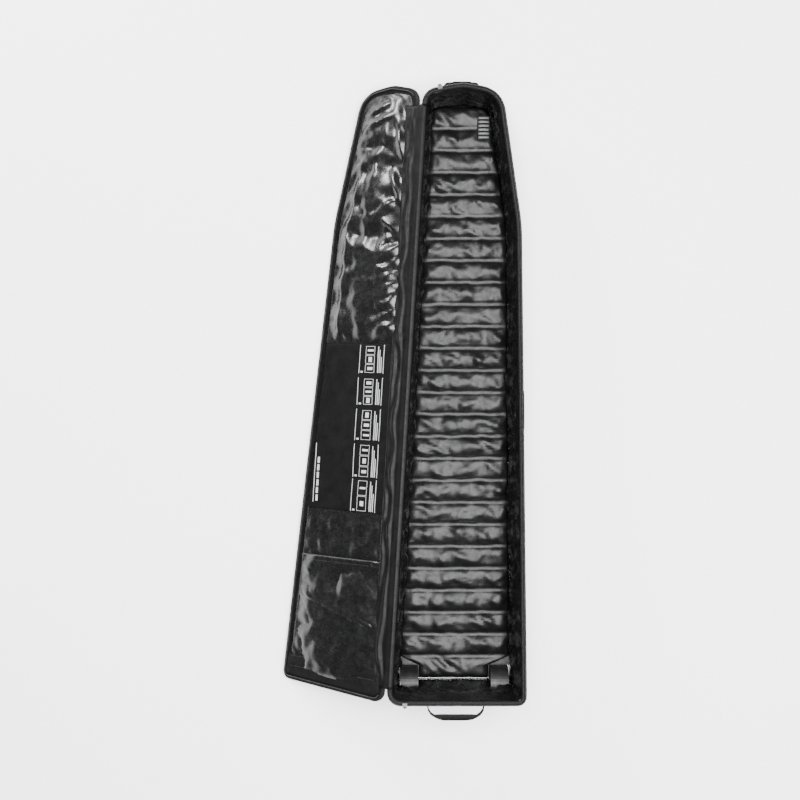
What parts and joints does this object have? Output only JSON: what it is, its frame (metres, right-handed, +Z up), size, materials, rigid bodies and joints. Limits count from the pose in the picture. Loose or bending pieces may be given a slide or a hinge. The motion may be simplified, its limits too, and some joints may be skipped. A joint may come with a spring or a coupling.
{
  "type": "snowboard bag",
  "caption": "Long tapered padded travel bag on its back, full-length front panel hinged open on one side, ribbed lining, wheels at the foot end",
  "frame": {"origin": "on the flat back panel at the mount back_rest, level with the middle of the rim's length, on the centre line of the foot end", "axes": "+Y from the foot end to the head end, +X from the hinged side towards the side that unzips, +Z up with the bag lying on its back"},
  "size_m": [0.7463, 1.9409, 0.2594],
  "materials": {
    "shell": "black densely woven polyester, matt",
    "lining": "black coated nylon, quilted, with a soft gloss",
    "print_panel": null,
    "webbing": "black ribbed polyester webbing and binding tape",
    "moulding": "black moulded plastic, fine texture",
    "tyre": "dark grey cast urethane",
    "steel": "zinc-plated steel",
    "zip": "black coil zip, black coated slider"
  },
  "bodies": {
    "bag": {"axle_left": "steel", "axle_right": "steel", "back_panel": "shell", "body_zip": "zip", "floor_liner": "lining", "foot_handle_patch": "webbing", "foot_wall": "shell", "foot_wall_lining": "lining", "gear_ladder": "webbing", "head_handle_patch": "webbing", "head_wall": "shell", "head_wall_lining": "lining", "inner_loop": "webbing", "left_wall": "shell", "left_wall_lining": "lining", "right_wall": "shell", "right_wall_lining": "lining", "rim_binding": "webbing", "side_handle_patch": "webbing", "wheel_housing_left": "moulding", "wheel_housing_right": "moulding", "wheel_tray": "moulding"},
    "lid": {"lid_panel": "shell", "lid_binding": "webbing", "lid_lining": "lining", "lid_print_panel": "print_panel", "lid_pocket": "lining", "lid_foot_panel": "shell", "lid_zip": "zip", "hinge_gusset": "shell"},
    "wheel_left": {"tyre_left": "tyre", "hub_left": "moulding", "bearing_left_inner": "steel", "bearing_left_outer": "steel"},
    "wheel_right": {"tyre_right": "tyre", "hub_right": "moulding", "bearing_right_inner": "steel", "bearing_right_outer": "steel"},
    "foot_handle": {"foot_handle": "webbing"},
    "head_handle": {"head_handle": "webbing"},
    "side_handle": {"side_handle": "webbing"},
    "slider_foot": {"slider_foot": "zip"},
    "slider_head": {"slider_head": "zip"},
    "pull_tab_foot": {"pull_tab_foot": "zip"},
    "pull_tab_head": {"pull_tab_head": "zip"}
  },
  "joints": [
    {"name": "lid_hinge", "type": "hinge", "parent": "bag", "child": "lid", "pos_m": [-0.205, -0.92978, 0.255], "axis": [0.0591, 0.9973, -0.0429], "range_deg": [0, 214.5]},
    {"name": "wheel_left_spin", "type": "hinge", "parent": "bag", "child": "wheel_left", "pos_m": [-0.13964, -0.91, 0.044], "axis": [1, 0, 0], "continuous": true},
    {"name": "wheel_right_spin", "type": "hinge", "parent": "bag", "child": "wheel_right", "pos_m": [0.13964, -0.91, 0.044], "axis": [1, 0, 0], "continuous": true},
    {"name": "foot_handle_swing", "type": "hinge", "parent": "bag", "child": "foot_handle", "pos_m": [0, -0.9332, 0.17], "axis": [1, 0, 0], "range_deg": [-70, 70]},
    {"name": "head_handle_swing", "type": "hinge", "parent": "bag", "child": "head_handle", "pos_m": [0.022, 0.92842, 0.075], "axis": [1, 0, 0], "range_deg": [-55, 55]},
    {"name": "side_handle_swing", "type": "hinge", "parent": "bag", "child": "side_handle", "pos_m": [0.19747, -0.05994, 0.09], "axis": [-0.0064, 1, 0], "range_deg": [-40, 40]},
    {"name": "slider_foot_slide", "type": "slide", "parent": "bag", "child": "slider_foot", "axis": [1, 0, 0], "range_m": [0, 0.32]},
    {"name": "slider_head_slide", "type": "slide", "parent": "bag", "child": "slider_head", "axis": [0.983, 0.1833, -0.0079], "range_m": [0, 0.037]},
    {"name": "pull_tab_foot_swing", "type": "hinge", "parent": "slider_foot", "child": "pull_tab_foot", "pos_m": [-0.15386, -0.93575, 0.2559], "axis": [-1, 0, 0], "range_deg": [0, 110]},
    {"name": "pull_tab_head_swing", "type": "hinge", "parent": "slider_head", "child": "pull_tab_head", "pos_m": [-0.04875, 0.92315, 0.17595], "axis": [0.983, 0.1833, -0.0079], "range_deg": [0, 110]}
  ]
}
